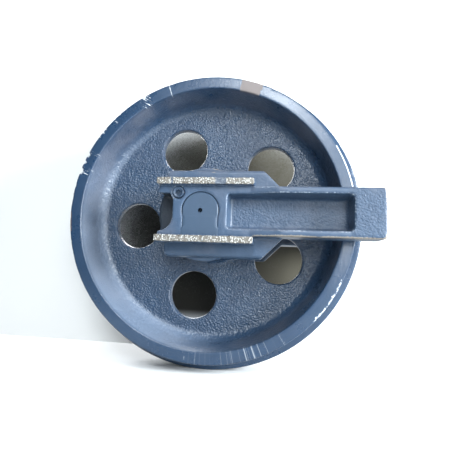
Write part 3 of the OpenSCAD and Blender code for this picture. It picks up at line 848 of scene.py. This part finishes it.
def dent_depth(point):
    """How deep the corner of the rim is knocked in at a point, in metres."""
    angle = math.degrees(math.atan2(point.z, point.x))
    dragged = 1.0 if point.y < 0 and 125 < angle < 178 else 0.45
    knock = noise.noise(point * 95.0) + 0.5 * noise.noise(point * 210.0) - 0.22
    depth = 1.9 * dragged * max(0.0, knock)
    for middle, deepest in notches.items():
        spread = 0.5 + 0.25 * deepest
        nearness = max(0.0, 1.0 - abs(angle - middle) / spread)
        depth = max(depth, deepest * nearness if point.y < 0 else 0.0)
    return depth * mm


print("notches:", len(notches))

# %% [markdown]
# A real casting is nowhere quite flat. The wheel's cast faces rise and fall by a few tenths of a
# millimetre. This relief and the dents are pushed into the mesh itself along the normals, because an
# outline shows what a bump map only pretends.

# %% Relief of the wheel
bare_dent = 1.4 * mm
relief = bmesh.new()
relief.from_mesh(wheel.data)
bmesh.ops.remove_doubles(relief, verts=relief.verts, dist=0.02 * mm)
turn_outwards(relief)
knocks = []
for vert in relief.verts:
    spot = vert.co.copy()
    reach = math.hypot(spot.x, spot.z)
    depth = abs(spot.y)
    cast = 60 * mm < reach < lip_radius - 3 * mm and depth < rim_face - 3 * mm
    rim_corner = reach > tread_radius - 4 * mm and depth > rim_face - 9 * mm
    flange_corner = reach > flange_radius - 5 * mm and depth > 20 * mm
    dent = dent_depth(spot) if rim_corner or flange_corner else 0.0
    knocks.append(min(1.0, dent / bare_dent))
    wave = noise.noise(spot * 24.0) * 0.45 + noise.noise(spot * 130.0) * 0.25 if cast else 0.0
    vert.co += vert.normal * (wave * mm - dent)
relief.to_mesh(wheel.data)
relief.free()
wheel.data.attributes.new("knock", "FLOAT", "POINT").data.foreach_set("value", knocks)
mark_edges(wheel, 1.2)
hand_over(wheel, "wheel", "painted_wheel", wheel_paint, "idler_wheel")

# %% [markdown]
# The arm stands a little prouder than the boss. On the real casting its face runs down to the boss in a
# gentle slope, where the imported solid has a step. A wedge of air, laid over the start of the arm, is cut
# away from the casting.

# %% Slope at the start of the arm
boss_face = abs(outer_face("front_lock_bar", -1))
arm_face = abs(bracket_low.y)
slope_start = Vector((84 * mm, boss_face + 0.25 * mm, 0))
slope_end = Vector((136 * mm, arm_face + 0.05 * mm, 0))
wedge_height = Vector((0, 20 * mm, 0))
wedge_half = 60 * mm


def slope_cutter(outward):
    wedge = bmesh.new()
    outline = [slope_start, slope_end, slope_end + wedge_height, slope_start + wedge_height]
    ring = [wedge.verts.new((point.x, point.y * outward, -wedge_half)) for point in outline]
    swept = bmesh.ops.extrude_face_region(wedge, geom=[wedge.faces.new(ring)])["geom"]
    bmesh.ops.translate(wedge, verts=verts_of(swept), vec=(0, 0, 2 * wedge_half))
    turn_outwards(wedge)
    return make_object("slope_cutter", wedge)


print("arm above boss:", round((arm_face - boss_face) / mm, 1), "mm")

# %% [markdown]
# A bracket is a rough casting with a plate, a boss, a hollow nose and a pocketed arm. Bevelling every
# corner where those forms meet is slow and breaks easily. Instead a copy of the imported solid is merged,
# wrapped in a fine voxel skin and relaxed, so that each outer corner and each inner one comes out as round
# as a mould would leave it. The skin is even all over, so the sand relief can be pushed into it too.

# %% Castings of the brackets
voxel = 1.8 * mm
relax_rounds = 5
for side, outward in sides.items():
    bracket_name = side + "_bracket"
    copy = bmesh.new()
    copy.from_mesh(cad_nodes[bracket_name].data)
    bmesh.ops.remove_doubles(copy, verts=copy.verts, dist=0.005 * mm)
    turn_outwards(copy)
    bracket = make_object(bracket_name + "_casting", copy)
    wedge_piece = slope_cutter(outward)
    cut_away(bracket, wedge_piece)
    wrap = bracket.modifiers.new("voxel skin", "REMESH")
    wrap.mode = "VOXEL"
    wrap.voxel_size = voxel
    relax = bracket.modifiers.new("relax", "SMOOTH")
    relax.factor = 0.5
    relax.iterations = relax_rounds
    apply_modifiers(bracket, wedge_piece)
    mark_edges(bracket, 0.9)
    relief = bmesh.new()
    relief.from_mesh(bracket.data)
    for vert in relief.verts:
        wave = noise.noise(vert.co * 30.0) * 0.20 + noise.noise(vert.co * 170.0) * 0.12
        vert.co += vert.normal * wave * mm
    relief.to_mesh(bracket.data)
    relief.free()
    hand_over(bracket, "support", "painted_bracket", bracket_paint, bracket_name)

# %% [markdown]
# A guide is a flat bar that keeps the bracket straight in the frame. It starts as a cube stretched to the
# packed bar's box, with its corners bevelled. Cuts across it give the front face enough points to be chewed
# up by noise, as a bar that has been hammered and rubbed is.

# %% Guide bars
chew_step = 2.2 * mm
chew_reach = 7 * mm


def worn_bar(node_name, outward):
    low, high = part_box(node_name)
    size = high - low
    bar = add_block(low, high)
    ends = [edge for edge in bar.edges if abs(edge.verts[0].co.y - edge.verts[1].co.y) > 1 * mm]
    round_off(bar, ends, 2.6 * mm, 4, "EDGES")
    corners = [edge for edge in bar.edges if edge.calc_face_angle(0.0) > math.radians(60)]
    round_off(bar, corners, 1.4 * mm, 3, "EDGES")
    for axis in range(3):
        direction = Vector((axis == 0, axis == 1, axis == 2))
        slice_up(bar, low, direction, size[axis], int(size[axis] / chew_step))
    outer = abs(outer_face(node_name, outward))
    for vert in bar.verts:
        near = max(0.0, 1.0 - (outer - abs(vert.co.y)) / chew_reach)
        chew = noise.noise(vert.co * 230.0) * 0.95 + noise.noise(vert.co * 60.0) * 0.5 - 0.35
        vert.co += vert.normal * chew * near * mm
    hand_over(make_object(node_name + "_bar", bar), "support", "guide_steel", guide_steel, node_name)


for side, outward in sides.items():
    for level in ("upper", "lower"):
        worn_bar(f"{side}_{level}_guide", outward)

# %% [markdown]
# The lock bar lies on the shaft's flat and keeps the shaft from turning. It is a plain bar with broken
# corners, painted over together with the boss round it.

# %% Lock bars
for side in sides:
    bar_name = side + "_lock_bar"
    bar = add_block(*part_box(bar_name))
    round_off(bar, bar.edges[:], 0.9 * mm, 3, "EDGES")
    hand_over(make_object(bar_name + "_block", bar), "support", "painted_bracket", shaft_finish, bar_name)

# %% [markdown]
# The shaft, the lock bar and the boss were painted together, and the thick coat runs across the seam
# between the shaft's flat and the bar, so that hardly a swell is left to see. The coat is a thin plate. Its
# front is bent by a smooth rise and fall: it stands proud over the seam and dives under the faces at its
# borders.

# %% Paint across the seams
film_reach = 8 * mm
film_thickness = 0.4 * mm
border_width = 3 * mm
for side, outward in sides.items():
    low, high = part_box(side + "_lock_bar")
    face = outer_face(side + "_lock_bar", outward)
    seam = high.z if outward < 0 else low.z
    bar_half = (high.x - low.x) / 2
    bar_height = high.z - low.z
    film_half = (bar_height + film_reach) / 2 - 0.5 * mm
    film_wide = bar_half + 5 * mm
    film_middle = seam - outward * (film_reach - film_half)
    film = bmesh.new()
    upright = Matrix.Translation((0, face, film_middle)) @ Matrix.Rotation(math.radians(90), 4, "X")
    bmesh.ops.create_grid(film, x_segments=60, y_segments=40, size=1.0,
                          matrix=upright @ Matrix.Diagonal((film_wide, film_half, 1, 1)))
    for vert in film.verts:
        above = (vert.co.z - seam) * -outward
        low_share = max(0.0, min(1.0, (-above - 0.45 * bar_height) / (4 * mm)))
        border = bar_half - 1 * mm + 4.5 * mm * low_share
        beyond = max(0.0, abs(vert.co.x) - border + border_width) / border_width
        rise = 0.12 - 0.55 * max(0.0, above / film_reach) ** 2 - 0.5 * min(beyond, 1.4) ** 2
        vert.co.y = face + outward * (rise + 0.05 * noise.noise(vert.co * 120.0)) * mm
    turn_outwards(film)
    shell = bmesh.ops.extrude_face_region(film, geom=film.faces[:])["geom"]
    bmesh.ops.translate(film, verts=verts_of(shell), vec=(0, -outward * film_thickness, 0))
    turn_outwards(film)
    hand_over(make_object(side + "_paint_film", film), "support", "painted_bracket", shaft_finish)

# %% [markdown]
# The guide bars are welded to the boss along their inner sides. A weld is a row of small overlapping pools,
# so the bead is a thin rod cut into slices, each slice swollen or pinched by the ripple of the pools.

# %% Weld beads
bead_radius = 1.9 * mm
bead_slice = 1.1 * mm
pool_length = 5.5 * mm


def weld_bead(name, start, end, depth, level):
    length = end - start
    bead = bmesh.new()
    middle = Matrix.Translation((start + length / 2, depth, level))
    bmesh.ops.create_cone(bead, cap_ends=True, segments=10, radius1=bead_radius, radius2=bead_radius,
                          depth=length, matrix=middle @ Matrix.Rotation(math.radians(90), 4, "Y"))
    slice_up(bead, Vector((start, 0, 0)), Vector((1, 0, 0)), length, int(length / bead_slice))
    for vert in bead.verts:
        ripple = abs(math.sin(math.pi * (vert.co.x - start) / pool_length))
        swell = 0.72 + 0.28 * ripple + 0.35 * noise.noise(vert.co * 150.0)
        vert.co.y = depth + (vert.co.y - depth) * swell
        vert.co.z = level + (vert.co.z - level) * swell
    piece = make_object(name, bead)
    mark_edges(piece, 2.5)
    hand_over(piece, "support", "painted_bracket", bracket_paint)


for side, outward in sides.items():
    boss_depth = outer_face(side + "_lock_bar", outward)
    for level in ("upper", "lower"):
        low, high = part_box(f"{side}_{level}_guide")
        inner = low.z if level == "upper" else high.z
        weld_bead(f"{side}_{level}_weld", low.x + 4 * mm, high.x - 6 * mm, boss_depth, inner)

# %% [markdown]
# Oil is filled through a plug beside the shaft. Its head is a turned disc with a rounded rim and a shallow
# dish, and its key socket is a hexagon. The disc is spun from a short section, and a six sided cutter makes
# the socket.

# %% Oil plugs
stem_radius = 6.4 * mm
dish_radius = 6.2 * mm
dish_edge = 7.2 * mm
key_radius = 4.6 * mm
key_length = 9 * mm
for side, outward in sides.items():
    plug_name = side + "_oil_plug"
    low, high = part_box(plug_name)
    face = outer_face(plug_name, outward)
    foot = outer_face(plug_name, -outward)
    head_radius = (high.x - low.x) / 2
    head_back = face - 6 * mm * outward
    dish_floor = face - 0.8 * mm * outward
    plug = bmesh.new()
    plug_section = [(0, dish_floor), (dish_radius, dish_floor), (dish_edge, face), (head_radius, face),
                    (head_radius, head_back), (stem_radius, head_back), (stem_radius, foot), (0, foot)]
    corners = add_chain(plug, plug_section)
    round_off(plug, [corners[3]], 1.0 * mm, 4, "VERTICES")
    spin_round(plug, 64)
    centre = Vector(((low.x + high.x) / 2, 0, (low.z + high.z) / 2))
    bmesh.ops.translate(plug, verts=plug.verts, vec=centre)
    piece = make_object(plug_name + "_head", plug)
    key = bmesh.new()
    upright = Matrix.Translation(centre + Vector((0, face, 0))) @ Matrix.Rotation(math.radians(90), 4, "X")
    bmesh.ops.create_cone(key, cap_ends=True, segments=6, radius1=key_radius, radius2=key_radius,
                          depth=key_length, matrix=upright)
    key_cutter = make_object("key_cutter", key)
    cut_away(piece, key_cutter)
    apply_modifiers(piece, key_cutter)
    hand_over(piece, "support", "plug_steel", plug_paint, plug_name)

# %% [markdown]
# The object stands on a pale floor in front of a pale wall. The wall is close behind the idler, so that
# only shade shows through the web holes, as it does where an idler lies on dark ground. From behind, the
# wall must not hide the object: its material is clear on the back, and it casts no shadow.

# %% Floor and wall
floor_level = cad_box[0][2]
wall_place = cad_box[1][1] + 8 * mm
wall_height = 3.0
stage_reach = 4.0
floor = bmesh.new()
bmesh.ops.create_grid(floor, x_segments=4, y_segments=4, size=stage_reach,
                      matrix=Matrix.Translation((0, 0, floor_level - 0.2 * mm)))
floor_piece = make_object("studio_floor", floor)
wall = bmesh.new()
wall_chain = [(wall_place - stage_reach, floor_level), (wall_place, floor_level),
              (wall_place, floor_level + wall_height)]
corners = [wall.verts.new((-stage_reach, back, up)) for back, up in wall_chain]
for first, second in zip(corners, corners[1:]):
    wall.edges.new((first, second))
swept = bmesh.ops.extrude_edge_only(wall, edges=wall.edges[:])["geom"]
bmesh.ops.translate(wall, verts=verts_of(swept), vec=(2 * stage_reach, 0, 0))
wall_piece = make_object("studio_wall", wall)
wall_piece.visible_shadow = False
wall_piece.visible_glossy = False
print("wall normal:", tuple(round(part, 2) for part in wall_piece.data.polygons[0].normal))

# %% [markdown]
# What the camera sees of the stage is white, with a shade behind the wheel that is deepest at the lower
# left. What the stage throws back at the object is greyer, so that the object doesn't glow from below. Far
# away the stage fades out, and no hard horizon is left.

# %% White of the stage
stage_white, shader, place = new_material("studio white")
tree = stage_white.node_tree
shader.inputs["Roughness"].default_value = 0.9
shader.inputs["Specular IOR Level"].default_value = 0.1
axes = split(place)
on_wall = fade(axes["Z"], floor_level + 50 * mm, floor_level + 90 * mm)
behind_wheel = product(fade(off_axis(axes)[1], 320 * mm, 260 * mm), on_wall)
openness = add_node(tree, "AmbientOcclusion", {"Distance": 0.4}, samples=8).outputs["AO"]
shaded = product(fade(openness, 0.62, 0.42), behind_wheel)
upper_right = fade(maths("ADD", axes["X"], axes["Z"]), -160 * mm, 100 * mm)
shade_colour = mix_colours(upper_right, (0.035, 0.033, 0.028, 1), (0.125, 0.115, 0.088, 1))
seen_colour = mix_colours(shaded, (0.92, 0.92, 0.91, 1), shade_colour)
bounce_colour = mix_colours(on_wall, (0.62, 0.62, 0.61, 1), (0.28, 0.28, 0.27, 1))
is_seen = tree.nodes.new("ShaderNodeLightPath").outputs["Is Camera Ray"]
connect(shader.inputs["Base Color"], mix_colours(is_seen, bounce_colour, seen_colour))
far_off = vector_maths("LENGTH", place)
either = tree.nodes.new("ShaderNodeMixShader")
connect(either.inputs[0], product(fade(far_off, 1.0, 2.4), is_seen))
connect(either.inputs[1], shader.outputs[0])
connect(either.inputs[2], tree.nodes.new("ShaderNodeBsdfTransparent").outputs[0])
connect(tree.nodes["Material Output"].inputs["Surface"], either.outputs[0])
wall_white = stage_white.copy()
wall_nodes = wall_white.node_tree.nodes
behind = wall_nodes.new("ShaderNodeNewGeometry").outputs["Backfacing"]
wall_mix = wall_nodes["Mix Shader"].inputs[0]
connect(wall_mix, largest(behind, wall_mix.links[0].from_socket))
floor_piece.data.materials.append(stage_white)
wall_piece.data.materials.append(wall_white)
print("material:", stage_white.name)

# %% [markdown]
# Outdoors the idler was lit by a bright sky in front of it and at its right, which is why the right side of
# the dish is almost black. In a studio one large panel is the sky, two smaller ones give the gloss its
# bright spots, and a strong one stands at the right. Two more light the back, so that no side is left in
# the dark.

# %% Lights
def soft_panel(name, place, target, size, power, colour):
    light = bpy.data.lights.new(name, "AREA")
    light.shape = "SQUARE"
    light.size = size
    light.energy = power
    light.color = colour
    panel = bpy.data.objects.new(name, light)
    aim = (Vector(target) - Vector(place)).to_track_quat("-Z", "Y").to_matrix().to_4x4()
    panel.matrix_world = Matrix.Translation(place) @ aim
    bpy.context.scene.collection.objects.link(panel)


centre = (0, 0, 0)
beside_shaft = (0.05, 0, 0)
sky_blue = (0.88, 0.95, 1.0)
soft_panel("sky_panel", (0.45, -1.85, 1.05), beside_shaft, 2.0, 22, sky_blue)
soft_panel("window_panel", (0.15, -1.80, 1.06), beside_shaft, 0.60, 21, sky_blue)
soft_panel("low_window_panel", (0.70, -1.80, 0.20), beside_shaft, 0.45, 9, sky_blue)
soft_panel("side_panel", (1.98, -0.82, 0.45), centre, 0.8, 120, (0.90, 0.96, 1.0))
soft_panel("back_panel", (-0.9, 1.9, 1.2), centre, 1.3, 65, (0.95, 0.98, 1.0))
soft_panel("back_fill", (1.6, 1.7, 0.4), centre, 1.2, 26, (0.93, 0.96, 1.0))
print("lights:", [item.name for item in bpy.data.lights])

# %% [markdown]
# The surround is pale to the camera and gives the object only a faint light, so that the panels shape it.

# %% Surround
surround_light = 0.08
surround_seen = 0.80
world = bpy.data.worlds.new("pale surround")
world.use_nodes = True
tree = world.node_tree
background = tree.nodes["Background"]
background.inputs["Color"].default_value = (0.82, 0.91, 1.0, 1)
is_seen = tree.nodes.new("ShaderNodeLightPath").outputs["Is Camera Ray"]
strength = times_plus(is_seen, surround_seen, surround_light)
connect(background.inputs["Strength"], strength)
bpy.context.scene.world = world
bpy.context.scene.view_settings.view_transform = "Standard"
print("surround:", world.name)

# %% [markdown]
# The last step prints the box of the imported model.

# %% Print the imported box
print("CAD box:", cad_box)
